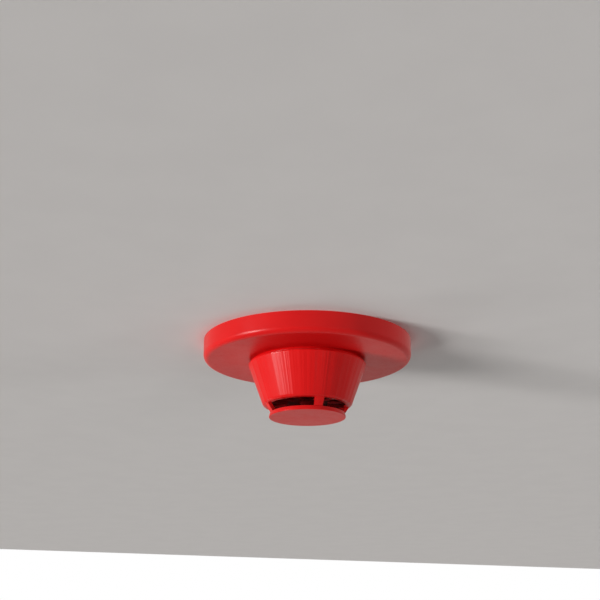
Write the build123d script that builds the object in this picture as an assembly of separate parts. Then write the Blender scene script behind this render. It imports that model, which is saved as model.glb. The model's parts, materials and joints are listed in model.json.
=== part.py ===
from build123d import *
from math import atan, cos, degrees, radians, sin
import os

os.makedirs("parts", exist_ok=True)

# Point heat detector on a wide flanged ceiling base.
# Millimetres. +Z points up into the ceiling and the ceiling face is z = 0.
# Every level below is a depth under the ceiling, so depth d lies at z = -d.
# Azimuths are in degrees from +X towards +Y.

# Flange and the collar under it.
FLANGE_RADIUS = 75.0
FLANGE_DEPTH = 14.8
FLANGE_ROUNDING = 3.8
FLANGE_WALL = 2.5
COLLAR_RADIUS = 39.0
COLLAR_COVE = 1.6
COLLAR_END = 17.8
WELL_RADIUS = 37.6
WELL_TOP = 1.0
TRAP_LEDGE_RADIUS = 34.5
TRAP_LEDGE_TOP = 2.4
TRAP_LEDGE_BOTTOM = 5.0
RIB_COUNT = 30
RIB_WIDTH = 1.4
RIB_TOP = 2.0
RING_RIB_RADII = (51.0, 61.8)

# Foam gasket between flange and ceiling.
GASKET_INNER = 63.4
GASKET_OUTER = 72.3
GASKET_DEPTH = 2.0

# Mounting base: plate, bayonet wall, ledges and stops.
PLATE_RADIUS = 34.2
PLATE_DEPTH = 3.0
BASE_STEP_INNER = 32.2
BASE_STEP_TOP = 5.2
BASE_STEP_BOTTOM = 7.3
BAYONET_WALL_OUTER = 37.3
BAYONET_WALL_INNER = 35.0
BAYONET_WALL_END = 14.6
LEDGE_INNER = 31.5
LEDGE_CENTRE = 11.6
LEDGE_BOTTOM = 14.4
LEDGE_SWEEP = 24.0
LOCK_STOP_START = 10.8
LOCK_STOP_SWEEP = 3.0
LOCK_STOP_END = 11.0
OPEN_STOP_START = -39.0
OPEN_STOP_SWEEP = 3.0
OPEN_STOP_INNER = 31.7
OPEN_STOP_END = 14.2
STOP_TOP = 6.4
BAYONET_ROOT = 36.2
BAYONET_AZIMUTHS = (90, 210, 330)
TWIST = 25.0
TWIST_DROP = 2.5

# Holes through the mounting base.
FIXING_X = 25.0
FIXING_HOLE_RADIUS = 2.3
SLOT_Y = 26.0
SLOT_RADIUS = 2.2
SLOT_LENGTH = 8.0
FIXING_PAD_RADIUS = 4.6
FIXING_PAD_DEPTH = 0.6
ENTRY_RADIUS = 7.0

# Cable grommet.
GROMMET_BORE = 4.0
GROMMET_NECK = 6.8
GROMMET_LIP = 8.6
GROMMET_LIP_DEPTH = 1.2
GROMMET_GAP = 0.2

# Base contacts: four tangential leaf springs, each with a screw and a rivet.
CONTACT_AZIMUTHS = (45, 135, 225, 315)
CONTACT_RADIUS = 22.0
CONTACT_WIDTH = 6.0
CONTACT_SHEET = 0.5
STRIP_START = -12.8
STRIP_END = -2.0
LEAF_BEND = 3.2
LEAF_TIP = 6.6
LEAF_RISE = 0.9
TERMINAL_OFFSET = -5.6
RIVET_OFFSET = -10.7
CLAMP_SIDE = 6.4
CLAMP_SHEET = 0.9
CLAMP_TOP = 4.2
TERMINAL_HEAD_RADIUS = 2.9
TERMINAL_HEAD = 1.9
TERMINAL_STEM = 1.5
STEM_TOP = 0.8
SLOT_WIDTH = 0.7
SLOT_DEPTH = 0.8
RIVET_STEM = 0.9
RIVET_HEAD_RADIUS = 1.6
RIVET_HEAD = 0.6
FIT_GAP = 0.1

# Weather seal between base and head.
SEAL_INNER = 35.1
SEAL_OUTER = 37.2
SEAL_TOP = 14.9
SEAL_BOTTOM = 18.0
SEAL_WAIST = 0.5

# Head cover: tapered shell, rounded lip, four posts.
RIM_RADIUS = 42.8
RIM_DEPTH = 16.7
RIM_ROUNDING = 1.1
TAPER_END_RADIUS = 31.6
TAPER_END_DEPTH = 47.5
LIP_ROUNDING = 2.6
COVER_WALL = 2.3
LIP_SHELF_DEPTH = 45.4
LIP_INNER_RADIUS = 27.6
POST_COUNT = 4
POST_SWEEP = 12.8
POST_FIRST = 45.0
POST_TOP_RADIUS = 30.4
POST_END_RADIUS = 26.7
POST_THICKNESS = 3.2
PEG_CIRCLE = 25.0
PEG_RADIUS = 0.95
PEG_HOLE_RADIUS = 1.0
PEG_LENGTH = 2.7

# End cap: slightly flared disc below the posts.
CAP_TOP = 53.0
CAP_END = 56.0
CAP_TOP_RADIUS = 26.9
CAP_END_RADIUS = 27.5
CAP_ROUNDING = 0.45
CAP_DOME_RADIUS = 9.0
CAP_DOME_RISE = 1.0
CAP_DOME_FLAT = 3.0

# Head chassis: disc, spigot with lugs, contact towers.
CHASSIS_TOP = 18.3
CHASSIS_BOTTOM = 21.3
CHASSIS_RADIUS = 39.5
SPIGOT_OUTER = 31.0
SPIGOT_INNER = 28.8
SPIGOT_TOP = 8.7
LUG_OUTER = 34.6
LUG_TOP = 8.9
LUG_BOTTOM = 14.0
LUG_CENTRE = 11.35
LUG_SWEEP = 20.0
TOWER_TOP = 9.9
TOWER_INNER = 18.8
TOWER_OUTER = 25.2
TOWER_SWEEP = 22.0
TOWER_LEAD = 10.0
BOSS_CIRCLE = 35.4
BOSS_RADIUS = 2.7
BOSS_END = 34.0
BOSS_AZIMUTHS = (15, 135, 255)
SWITCH_WINDOW = 11.0

# Screws that hold the chassis in the cover.
CHASSIS_HEAD_RADIUS = 2.1
CHASSIS_HEAD = 1.4
CHASSIS_STEM = 1.2
CHASSIS_SCREW_END = 29.0
COUNTERBORE_RADIUS = 2.3
COUNTERBORE_DEPTH = 1.7

# Contact pads on the towers.
PAD_TOP = 9.2
PAD_SHEET = 0.6
PAD_SWEEP = 18.0
PAD_INNER = 19.2
PAD_OUTER = 24.8
PIN_RADIUS = 0.8
PIN_END = 26.4

# Circuit board and its screws.
BOARD_TOP = 23.0
BOARD_BOTTOM = 24.6
BOARD_RADIUS = 31.5
STANDOFF_RADIUS = 2.6
BOARD_SCREW_CIRCLE = 27.5
BOARD_SCREW_AZIMUTHS = (75, 195, 315)
BOARD_HEAD_RADIUS = 2.0
BOARD_HEAD = 1.3
BOARD_STEM = 1.0
BOARD_SCREW_TOP = 19.6

# Address switches, one for tens and one for units.
SWITCH_X = 9.0
SWITCH_SIDE = 9.6
SWITCH_TOP = 17.6
ROTOR_RADIUS = 3.2
ROTOR_CLEARANCE = 0.05
ROTOR_TOP = 17.3
ROTOR_BOTTOM = 19.2
ROTOR_POCKET_BOTTOM = 19.5
ROTOR_ARROW = (
    (-2.6, -0.45), (0.5, -0.45), (0.5, -1.3), (2.4, 0.0),
    (0.5, 1.3), (0.5, 0.45), (-2.6, 0.45),
)
SWITCH_CORNER = 0.9

# Sensor carrier, thermistors and bead guard.
CARRIER_RADIUS = 29.4
CARRIER_TOP = 43.2
CARRIER_BOTTOM = 45.2
CARRIER_SLEEVE_OUTER = 2.6
CARRIER_SLEEVE_INNER = 1.5
CARRIER_SLEEVE_TOP = 27.0
NOSE_TOP_RADIUS = 6.0
NOSE_END_RADIUS = 3.2
NOSE_END = 47.4
VANE_COUNT = 12
VANE_INNER = 15.0
VANE_OUTER = 26.5
VANE_WIDTH = 1.0
VANE_END = 46.9
BEAD_DEPTH = 50.2
BEAD_RADIUS = 1.3
LEAD_RADIUS = 0.25
LEAD_SPREAD = 0.8
LEAD_TOP = 22.6
GUARD_CIRCLE = 4.6
GUARD_LEG_RADIUS = 0.55
GUARD_LEGS = 3
GUARD_RING_TOP = 50.9
GUARD_RING_BOTTOM = 51.7
REFERENCE_X = -16.0
REFERENCE_Y = -13.0
REFERENCE_DEPTH = 29.6

# Alarm indicator: lamp on the board and lens in the cover wall.
LAMP_AZIMUTH = 118.0
LAMP_CIRCLE = 28.2
LAMP_RADIUS = 1.5
LAMP_FLANGE_RADIUS = 1.8
LAMP_FLANGE = 0.8
LAMP_LENGTH = 4.6
LENS_DEPTH = 33.0
LENS_RADIUS = 1.9
LENS_HOLE_RADIUS = 2.0
LENS_LENGTH = 6.8
LENS_HEAD_RADIUS = 2.6
LENS_HEAD = 0.7
LENS_PROUD = 0.15

# Electronic parts under the board, as (x, y, length, width, height).
MICROCONTROLLER = (0.0, -14.0, 7.0, 7.0, 1.0)
SUPPRESSOR = (-10.0, 16.0, 4.6, 3.6, 2.2)
RECTIFIER = (-19.5, 3.0, 4.8, 3.9, 2.4)
PACKAGE_CHAMFER_SHARE = 0.125
CAPACITOR_X = 10.5
CAPACITOR_Y = 2.0
CAPACITOR_RADIUS = 4.0
CAPACITOR_LENGTH = 7.6
CAPACITOR_FOOT = 8.4
CAPACITOR_FOOT_HEIGHT = 0.8
CAPACITOR_GROOVE = 0.35
REED_X = 18.0
REED_Y = 6.0
REED_RADIUS = 1.1
REED_LENGTH = 9.0
REED_LEAD_RADIUS = 0.3
REED_LEAD = 2.0
REED_FOOT_RADIUS = 0.4
REED_DEPTH = 27.0
RESISTOR_SIZE = (2.0, 1.25, 0.55)
RESISTOR_PLACES = ((-7, -8), (-7, -11), (-7, -14), (-7, -17), (7, -20), (3, -22), (-3, -22), (8, 14), (11, 14),
                   (14, 14))
CERAMIC_SIZE = (2.0, 1.25, 1.1)
CERAMIC_PLACES = ((0, -7), (3.5, -7), (-3.5, -7), (7, -14.5), (-14, 10), (-10, 11), (4, 18), (0, 18))
SOLDER_GAP = 0.05

RAMP_SLOPE = TWIST_DROP / radians(TWIST) / ((LEDGE_INNER + BAYONET_WALL_INNER) / 2)
RAMP_ANGLE = degrees(atan(RAMP_SLOPE))
TAPER_SLOPE = (RIM_RADIUS - TAPER_END_RADIUS) / (TAPER_END_DEPTH - RIM_DEPTH)
TAPER_ANGLE = degrees(atan(TAPER_SLOPE))
CUTTER = 60.0
OVERSHOOT = 1.0


def turned(*corners):
    """Revolve an outline of (radius, depth) corners; a third number rounds that corner."""
    points = [(corner[0], 0, -corner[1]) for corner in corners]
    face = make_face(Polyline(*points, close=True)).face()
    for corner in corners:
        if len(corner) == 3:
            vertex = face.vertices().sort_by_distance((corner[0], 0, -corner[1]))[0]
            face = face.fillet_2d(corner[2], [vertex])
    return revolve(face, Axis.Z)


def rod(radius, top, bottom, x=0.0, y=0.0):
    """Upright cylinder between two depths."""
    grow_up = (Align.CENTER, Align.CENTER, Align.MIN)
    return Pos(x, y, -bottom) * Cylinder(radius, bottom - top, align=grow_up)


def block(length, width, top, bottom, x=0.0, y=0.0):
    """Upright box between two depths."""
    grow_up = (Align.CENTER, Align.CENTER, Align.MIN)
    return Pos(x, y, -bottom) * Box(length, width, bottom - top, align=grow_up)


def ring(outer, inner, top, bottom):
    """Plain ring between two depths."""
    return rod(outer, top, bottom) - rod(inner, top - OVERSHOOT, bottom + OVERSHOOT)


def sector(inner, outer, top, bottom, start, sweep):
    """Piece of a ring, starting at an azimuth and sweeping towards +Y."""
    near = CenterArc((0, 0), inner, start, sweep)
    far = CenterArc((0, 0), outer, start, sweep)
    outline = make_face([near, far, Line(near @ 0, far @ 0), Line(near @ 1, far @ 1)])
    return extrude(Pos(0, 0, -bottom) * outline, bottom - top, dir=(0, 0, 1))


def turned_to(azimuth, shape):
    """Turn a shape built at azimuth 0 about the vertical axis."""
    return Rot(0, 0, azimuth) * shape


def polar(radius, azimuth):
    """Plan position of a radius and azimuth."""
    return radius * cos(radians(azimuth)), radius * sin(radians(azimuth))


def cover_radius(depth):
    """Outer radius of the tapered cover at a depth."""
    return RIM_RADIUS - (depth - RIM_DEPTH) * TAPER_SLOPE


def save(shape, name):
    """Write one node."""
    export_step(shape, f"parts/{name}.step")


# %% Base: flange, gasket, mounting base, grommet

def make_base_flange():
    """Hollow disc with a rounded lower edge, a collar below and a ribbed back."""
    floor = FLANGE_DEPTH - FLANGE_WALL
    inner_wall = FLANGE_RADIUS - FLANGE_WALL
    shell = turned(
        (WELL_RADIUS, WELL_TOP), (COLLAR_RADIUS, WELL_TOP), (COLLAR_RADIUS, floor), (inner_wall, floor),
        (inner_wall, 0), (FLANGE_RADIUS, 0), (FLANGE_RADIUS, FLANGE_DEPTH, FLANGE_ROUNDING),
        (COLLAR_RADIUS, FLANGE_DEPTH, COLLAR_COVE), (COLLAR_RADIUS, COLLAR_END), (WELL_RADIUS, COLLAR_END),
    )
    shell += ring(WELL_RADIUS + FIT_GAP, TRAP_LEDGE_RADIUS, TRAP_LEDGE_TOP, TRAP_LEDGE_BOTTOM)
    for radius in RING_RIB_RADII:
        shell += ring(radius + RIB_WIDTH / 2, radius - RIB_WIDTH / 2, RIB_TOP, floor + FIT_GAP)
    length = inner_wall - COLLAR_RADIUS + 2 * FIT_GAP
    middle = (inner_wall + COLLAR_RADIUS) / 2
    rib = block(length, RIB_WIDTH, RIB_TOP, floor + FIT_GAP, x=middle)
    for index in range(RIB_COUNT):
        shell += turned_to(360 * index / RIB_COUNT, rib)
    return shell


def make_gasket():
    """Flat foam ring that closes the flange against the ceiling."""
    return ring(GASKET_OUTER, GASKET_INNER, 0, GASKET_DEPTH)


def make_bayonet_pieces():
    """One ledge with the locked stop, its top sloping down towards the unlocked side, and the open stop."""
    ledge = sector(LEDGE_INNER, BAYONET_ROOT, BASE_STEP_BOTTOM, LEDGE_BOTTOM, -LEDGE_SWEEP / 2, LEDGE_SWEEP)
    above = Box(CUTTER, CUTTER, CUTTER, align=(Align.CENTER, Align.CENTER, Align.MIN))
    ledge -= Pos(LEDGE_INNER, 0, -LEDGE_CENTRE) * Rot(RAMP_ANGLE, 0, 0) * above
    stop = sector(LEDGE_INNER, BAYONET_ROOT, STOP_TOP, LOCK_STOP_END, LOCK_STOP_START, LOCK_STOP_SWEEP)
    end = sector(OPEN_STOP_INNER, BAYONET_ROOT, STOP_TOP, OPEN_STOP_END, OPEN_STOP_START, OPEN_STOP_SWEEP)
    return ledge + stop, end


def make_mounting_base():
    """Screwed plate with the bayonet wall, holes for fixings, cable, rivets and screws."""
    body = turned(
        (ENTRY_RADIUS, 0), (PLATE_RADIUS, 0), (PLATE_RADIUS, BASE_STEP_TOP),
        (BAYONET_WALL_OUTER, BASE_STEP_TOP), (BAYONET_WALL_OUTER, BAYONET_WALL_END),
        (BAYONET_WALL_INNER, BAYONET_WALL_END),
        (BAYONET_WALL_INNER, BASE_STEP_BOTTOM), (BASE_STEP_INNER, BASE_STEP_BOTTOM),
        (BASE_STEP_INNER, PLATE_DEPTH), (ENTRY_RADIUS, PLATE_DEPTH),
    )
    for azimuth in BAYONET_AZIMUTHS:
        for piece in make_bayonet_pieces():
            body += turned_to(azimuth, piece)
    pad_end = PLATE_DEPTH + FIXING_PAD_DEPTH
    for side in (-1, 1):
        body += rod(FIXING_PAD_RADIUS, PLATE_DEPTH - FIT_GAP, pad_end, x=side * FIXING_X)
        body -= rod(FIXING_HOLE_RADIUS, -OVERSHOOT, pad_end + OVERSHOOT, x=side * FIXING_X)
        slot = extrude(SlotOverall(SLOT_LENGTH, 2 * SLOT_RADIUS, rotation=90), 2 * PLATE_DEPTH, both=True)
        body -= Pos(0, side * SLOT_Y, 0) * slot
    below = PLATE_DEPTH + OVERSHOOT
    stem = rod(TERMINAL_STEM + FIT_GAP, STEM_TOP - FIT_GAP, below, CONTACT_RADIUS, TERMINAL_OFFSET)
    rivet = rod(RIVET_STEM + FIT_GAP, -OVERSHOOT, below, CONTACT_RADIUS, RIVET_OFFSET)
    head = rod(RIVET_HEAD_RADIUS + FIT_GAP, -OVERSHOOT, RIVET_HEAD + FIT_GAP, CONTACT_RADIUS, RIVET_OFFSET)
    for azimuth in CONTACT_AZIMUTHS:
        for hole in (stem, rivet, head):
            body -= turned_to(azimuth, hole)
    return body


def make_grommet():
    """Rubber grommet with a lip on the room side of the cable entry."""
    neck = ring(GROMMET_NECK, GROMMET_BORE, 0, PLATE_DEPTH + GROMMET_GAP)
    lip_top = PLATE_DEPTH + FIT_GAP
    lip = ring(GROMMET_LIP, GROMMET_BORE, lip_top, lip_top + GROMMET_LIP_DEPTH)
    return neck + lip


# %% Base contacts, terminals and rivets

def make_base_contact():
    """Leaf spring at azimuth 0: flat strip, sloping leaf and a raised tip."""
    top = PLATE_DEPTH + FIT_GAP
    low = PAD_TOP - FIT_GAP
    edge = [
        (STRIP_START, -top), (STRIP_END, -top), (LEAF_BEND, -(low - CONTACT_SHEET)),
        (LEAF_TIP, -(low - CONTACT_SHEET - LEAF_RISE)), (LEAF_TIP, -(low - LEAF_RISE)),
        (LEAF_BEND, -low), (STRIP_END, -(top + CONTACT_SHEET)), (STRIP_START, -(top + CONTACT_SHEET)),
    ]
    side = CONTACT_RADIUS - CONTACT_WIDTH / 2
    face = make_face(Polyline(*[(side, y, z) for y, z in edge], close=True))
    leaf = extrude(face, CONTACT_WIDTH, dir=(1, 0, 0))
    leaf -= rod(TERMINAL_STEM + FIT_GAP, 0, CLAMP_TOP, CONTACT_RADIUS, TERMINAL_OFFSET)
    leaf -= rod(RIVET_STEM + FIT_GAP, 0, CLAMP_TOP, CONTACT_RADIUS, RIVET_OFFSET)
    return leaf


def make_terminal_screw():
    """Slotted pan head screw of one terminal, at azimuth 0."""
    top = CLAMP_TOP + CLAMP_SHEET
    bottom = top + TERMINAL_HEAD
    screw = rod(TERMINAL_HEAD_RADIUS, top, bottom, CONTACT_RADIUS, TERMINAL_OFFSET)
    screw += rod(TERMINAL_STEM, STEM_TOP, top + FIT_GAP, CONTACT_RADIUS, TERMINAL_OFFSET)
    screw -= block(CUTTER, SLOT_WIDTH, bottom - SLOT_DEPTH, bottom + OVERSHOOT, CONTACT_RADIUS, TERMINAL_OFFSET)
    return screw


def make_terminal_clamp():
    """Square wire clamp under the screw head, with a lip turned towards the plate."""
    bottom = CLAMP_TOP + CLAMP_SHEET
    clamp = block(CLAMP_SIDE, CLAMP_SIDE, CLAMP_TOP, bottom, CONTACT_RADIUS, TERMINAL_OFFSET)
    inner_edge = CONTACT_RADIUS - CLAMP_SIDE / 2 + CONTACT_SHEET / 2
    lip_top = PLATE_DEPTH + CONTACT_SHEET + 2 * FIT_GAP
    clamp += block(CONTACT_SHEET, CLAMP_SIDE, lip_top, bottom, inner_edge, TERMINAL_OFFSET)
    clamp -= rod(TERMINAL_STEM + FIT_GAP, 0, bottom + OVERSHOOT, CONTACT_RADIUS, TERMINAL_OFFSET)
    return clamp


def make_rivet():
    """Rivet that fixes one contact strip, headed on both sides of the plate."""
    low = PLATE_DEPTH + CONTACT_SHEET + 2 * FIT_GAP
    rivet = rod(RIVET_STEM, 0, low + RIVET_HEAD, CONTACT_RADIUS, RIVET_OFFSET)
    rivet += rod(RIVET_HEAD_RADIUS, 0, RIVET_HEAD, CONTACT_RADIUS, RIVET_OFFSET)
    rivet += rod(RIVET_HEAD_RADIUS, low, low + RIVET_HEAD, CONTACT_RADIUS, RIVET_OFFSET)
    return rivet


def make_seal():
    """Rubber ring with a waist on its outside, below the bayonet wall."""
    middle = (SEAL_TOP + SEAL_BOTTOM) / 2
    waist = SEAL_OUTER - SEAL_WAIST
    return turned((SEAL_INNER, SEAL_TOP), (SEAL_OUTER, SEAL_TOP), (waist, middle), (SEAL_OUTER, SEAL_BOTTOM),
                  (SEAL_INNER, SEAL_BOTTOM))


# %% Head: cover, end cap, chassis

def make_post():
    """One sloping post between the lip and the end cap, at azimuth 0, with its peg hole."""
    slope_end = POST_END_RADIUS - POST_THICKNESS
    profile = turned(
        (LIP_INNER_RADIUS, LIP_SHELF_DEPTH + FIT_GAP), (POST_TOP_RADIUS, LIP_SHELF_DEPTH + FIT_GAP),
        (POST_TOP_RADIUS, TAPER_END_DEPTH - FIT_GAP), (POST_END_RADIUS, CAP_TOP), (slope_end, CAP_TOP),
        (LIP_INNER_RADIUS - FIT_GAP, TAPER_END_DEPTH),
    )
    wedge = sector(slope_end - OVERSHOOT, RIM_RADIUS, RIM_DEPTH, CAP_END, -POST_SWEEP / 2, POST_SWEEP)
    hole = rod(PEG_HOLE_RADIUS, CAP_TOP - PEG_LENGTH - FIT_GAP, CAP_TOP + OVERSHOOT, x=PEG_CIRCLE)
    return (profile & wedge) - hole


def lens_frame():
    """Place of the indicator lens: on the taper, its local Z along the outward normal."""
    x, y = polar(cover_radius(LENS_DEPTH), LAMP_AZIMUTH)
    return Pos(x, y, -LENS_DEPTH) * Rot(0, 0, LAMP_AZIMUTH) * Rot(0, 90 + TAPER_ANGLE, 0)


def make_head_cover():
    """Tapered shell with a rounded lip, screw bosses inside and four posts."""
    shelf_radius = cover_radius(LIP_SHELF_DEPTH) - COVER_WALL
    cover = turned(
        (RIM_RADIUS - COVER_WALL, RIM_DEPTH), (RIM_RADIUS, RIM_DEPTH, RIM_ROUNDING),
        (TAPER_END_RADIUS, TAPER_END_DEPTH, LIP_ROUNDING), (LIP_INNER_RADIUS, TAPER_END_DEPTH),
        (LIP_INNER_RADIUS, LIP_SHELF_DEPTH), (shelf_radius, LIP_SHELF_DEPTH),
    )
    inset = COVER_WALL / 2
    outside = turned((0, RIM_DEPTH), (RIM_RADIUS - inset, RIM_DEPTH),
                     (TAPER_END_RADIUS - inset, TAPER_END_DEPTH), (0, TAPER_END_DEPTH))
    for azimuth in BOSS_AZIMUTHS:
        x, y = polar(BOSS_CIRCLE, azimuth)
        cover += rod(BOSS_RADIUS, CHASSIS_BOTTOM + FIT_GAP, BOSS_END, x, y) & outside
        cover -= rod(CHASSIS_STEM + FIT_GAP, RIM_DEPTH, CHASSIS_SCREW_END + FIT_GAP, x, y)
    post = make_post()
    for index in range(POST_COUNT):
        cover += turned_to(POST_FIRST + 360 * index / POST_COUNT, post)
    bore = Cylinder(LENS_HOLE_RADIUS, 2 * LENS_LENGTH)
    sink = Cylinder(LENS_HEAD_RADIUS + FIT_GAP, 2 * LENS_HEAD)
    return cover - lens_frame() * (bore + sink)


def make_end_cap():
    """Flared disc with a low dome inside and four pegs for the posts."""
    cap = turned(
        (0, CAP_TOP - CAP_DOME_RISE), (CAP_DOME_FLAT, CAP_TOP - CAP_DOME_RISE), (CAP_DOME_RADIUS, CAP_TOP),
        (CAP_TOP_RADIUS, CAP_TOP, CAP_ROUNDING), (CAP_END_RADIUS, CAP_END, CAP_ROUNDING), (0, CAP_END),
    )
    for index in range(POST_COUNT):
        x, y = polar(PEG_CIRCLE, POST_FIRST + 360 * index / POST_COUNT)
        cap += rod(PEG_RADIUS, CAP_TOP - PEG_LENGTH, CAP_TOP + FIT_GAP, x, y)
    return cap


def make_lug():
    """Bayonet lug with a sloping underside that rides on the ledge."""
    lug = sector(SPIGOT_OUTER - FIT_GAP, LUG_OUTER, LUG_TOP, LUG_BOTTOM, -LUG_SWEEP / 2, LUG_SWEEP)
    below = Box(CUTTER, CUTTER, CUTTER, align=(Align.CENTER, Align.CENTER, Align.MAX))
    return lug - Pos(LEDGE_INNER, 0, -LUG_CENTRE) * Rot(RAMP_ANGLE, 0, 0) * below


def make_tower():
    """Support of one contact pad, at the azimuth where the leaf tip lands."""
    start = TOWER_LEAD - TOWER_SWEEP / 2
    return sector(TOWER_INNER, TOWER_OUTER, TOWER_TOP, CHASSIS_TOP + FIT_GAP, start, TOWER_SWEEP)


def make_chassis():
    """Closing disc of the head, with spigot, lugs, towers, windows and stand-offs."""
    low_radius = CHASSIS_RADIUS - (CHASSIS_BOTTOM - CHASSIS_TOP) * TAPER_SLOPE
    chassis = turned((0, CHASSIS_TOP), (CHASSIS_RADIUS, CHASSIS_TOP), (low_radius, CHASSIS_BOTTOM),
                     (0, CHASSIS_BOTTOM))
    chassis += ring(SPIGOT_OUTER, SPIGOT_INNER, SPIGOT_TOP, CHASSIS_TOP + FIT_GAP)
    for azimuth in BAYONET_AZIMUTHS:
        chassis += turned_to(azimuth, make_lug())
    for azimuth in CONTACT_AZIMUTHS:
        chassis += turned_to(azimuth, make_tower())
        x, y = polar(CONTACT_RADIUS, azimuth + TOWER_LEAD)
        chassis -= rod(PIN_RADIUS + FIT_GAP, 0, BOARD_TOP, x, y)
    for azimuth in BOARD_SCREW_AZIMUTHS:
        x, y = polar(BOARD_SCREW_CIRCLE, azimuth)
        chassis += rod(STANDOFF_RADIUS, CHASSIS_BOTTOM - FIT_GAP, BOARD_TOP - FIT_GAP, x, y)
        chassis -= rod(BOARD_STEM + FIT_GAP, BOARD_SCREW_TOP - FIT_GAP, BOARD_TOP, x, y)
    for side in (-1, 1):
        chassis -= block(SWITCH_WINDOW, SWITCH_WINDOW, 0, BOARD_TOP, x=side * SWITCH_X)
    for azimuth in BOSS_AZIMUTHS:
        x, y = polar(BOSS_CIRCLE, azimuth)
        chassis -= rod(CHASSIS_STEM + FIT_GAP, 0, BOARD_TOP, x, y)
        chassis -= rod(COUNTERBORE_RADIUS, 0, CHASSIS_TOP + COUNTERBORE_DEPTH, x, y)
    return chassis


# %% Head: screws, contact pads, board

def make_chassis_screw(azimuth):
    """Slotted screw sunk in the chassis."""
    x, y = polar(BOSS_CIRCLE, azimuth)
    bottom = CHASSIS_TOP + COUNTERBORE_DEPTH - FIT_GAP
    top = bottom - CHASSIS_HEAD
    screw = rod(CHASSIS_HEAD_RADIUS, top, bottom, x, y)
    screw += rod(CHASSIS_STEM, bottom - FIT_GAP, CHASSIS_SCREW_END, x, y)
    return screw - block(CUTTER, SLOT_WIDTH, 0, top + SLOT_DEPTH, x, y)


def make_board_screw(azimuth):
    """Slotted screw that holds the board from below."""
    x, y = polar(BOARD_SCREW_CIRCLE, azimuth)
    top = BOARD_BOTTOM + SOLDER_GAP
    bottom = top + BOARD_HEAD
    screw = rod(BOARD_HEAD_RADIUS, top, bottom, x, y)
    screw += rod(BOARD_STEM, BOARD_SCREW_TOP, top + FIT_GAP, x, y)
    return screw - block(CUTTER, SLOT_WIDTH, bottom - SLOT_DEPTH, bottom + OVERSHOOT, x, y)


def make_contact_pad():
    """Flat pad on a tower with the pin that carries it to the board."""
    start = TOWER_LEAD - PAD_SWEEP / 2
    pad = sector(PAD_INNER, PAD_OUTER, PAD_TOP, PAD_TOP + PAD_SHEET, start, PAD_SWEEP)
    x, y = polar(CONTACT_RADIUS, TOWER_LEAD)
    return pad + rod(PIN_RADIUS, PAD_TOP + SOLDER_GAP, PIN_END, x, y)


def make_board():
    """Round circuit board drilled for pins, screws and thermistor leads."""
    board = rod(BOARD_RADIUS, BOARD_TOP, BOARD_BOTTOM)
    for azimuth in CONTACT_AZIMUTHS:
        x, y = polar(CONTACT_RADIUS, azimuth + TOWER_LEAD)
        board -= rod(PIN_RADIUS + FIT_GAP, 0, CARRIER_TOP, x, y)
    for azimuth in BOARD_SCREW_AZIMUTHS:
        x, y = polar(BOARD_SCREW_CIRCLE, azimuth)
        board -= rod(BOARD_STEM + FIT_GAP, 0, CARRIER_TOP, x, y)
    for x, y in ((0, 0), (REFERENCE_X, REFERENCE_Y)):
        for side in (-1, 1):
            board -= rod(LEAD_RADIUS + FIT_GAP, 0, CARRIER_TOP, x + side * LEAD_SPREAD, y)
    return board


# %% Head: sensor carrier, thermistors, indicator

def make_carrier():
    """Black plate over the sensing space, with a nose, air vanes and a lead sleeve."""
    carrier = rod(CARRIER_RADIUS, CARRIER_TOP, CARRIER_BOTTOM)
    carrier += turned((0, CARRIER_BOTTOM - FIT_GAP), (NOSE_TOP_RADIUS, CARRIER_BOTTOM - FIT_GAP),
                      (NOSE_END_RADIUS, NOSE_END), (0, NOSE_END))
    carrier += rod(CARRIER_SLEEVE_OUTER, CARRIER_SLEEVE_TOP, CARRIER_TOP + FIT_GAP)
    vane = block(VANE_OUTER - VANE_INNER, VANE_WIDTH, CARRIER_BOTTOM - FIT_GAP, VANE_END,
                 x=(VANE_OUTER + VANE_INNER) / 2)
    for index in range(VANE_COUNT):
        carrier += turned_to(360 * (index + 0.5) / VANE_COUNT, vane)
    return carrier - rod(CARRIER_SLEEVE_INNER, 0, NOSE_END + OVERSHOOT)


def make_bead_guard():
    """Three thin legs and a ring around the sensing bead."""
    guard = ring(GUARD_CIRCLE + GUARD_LEG_RADIUS, GUARD_CIRCLE - GUARD_LEG_RADIUS,
                 GUARD_RING_TOP, GUARD_RING_BOTTOM)
    for index in range(GUARD_LEGS):
        x, y = polar(GUARD_CIRCLE, 360 * index / GUARD_LEGS)
        guard += rod(GUARD_LEG_RADIUS, NOSE_END - FIT_GAP, GUARD_RING_BOTTOM, x, y)
    return guard - make_nose_room()


def make_nose_room():
    """Space of the carrier's nose with a fitting gap."""
    reach = FIT_GAP / 2
    return turned((0, 0), (NOSE_TOP_RADIUS + reach, 0), (NOSE_TOP_RADIUS + reach, CARRIER_BOTTOM),
                  (NOSE_END_RADIUS + reach, NOSE_END + reach), (0, NOSE_END + reach))


def make_thermistor(x, y, depth):
    """Glass bead on two thin leads that reach the board."""
    bead = Pos(x, y, -depth) * Sphere(BEAD_RADIUS)
    for side in (-1, 1):
        bead += rod(LEAD_RADIUS, LEAD_TOP, depth, x + side * LEAD_SPREAD, y)
    return bead


def make_alarm_lamp():
    """Small domed lamp under the board."""
    x, y = polar(LAMP_CIRCLE, LAMP_AZIMUTH)
    top = BOARD_BOTTOM + SOLDER_GAP
    lamp = rod(LAMP_FLANGE_RADIUS, top, top + LAMP_FLANGE, x, y)
    lamp += rod(LAMP_RADIUS, top, top + LAMP_LENGTH - LAMP_RADIUS, x, y)
    return lamp + Pos(x, y, -(top + LAMP_LENGTH - LAMP_RADIUS)) * Sphere(LAMP_RADIUS)


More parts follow.
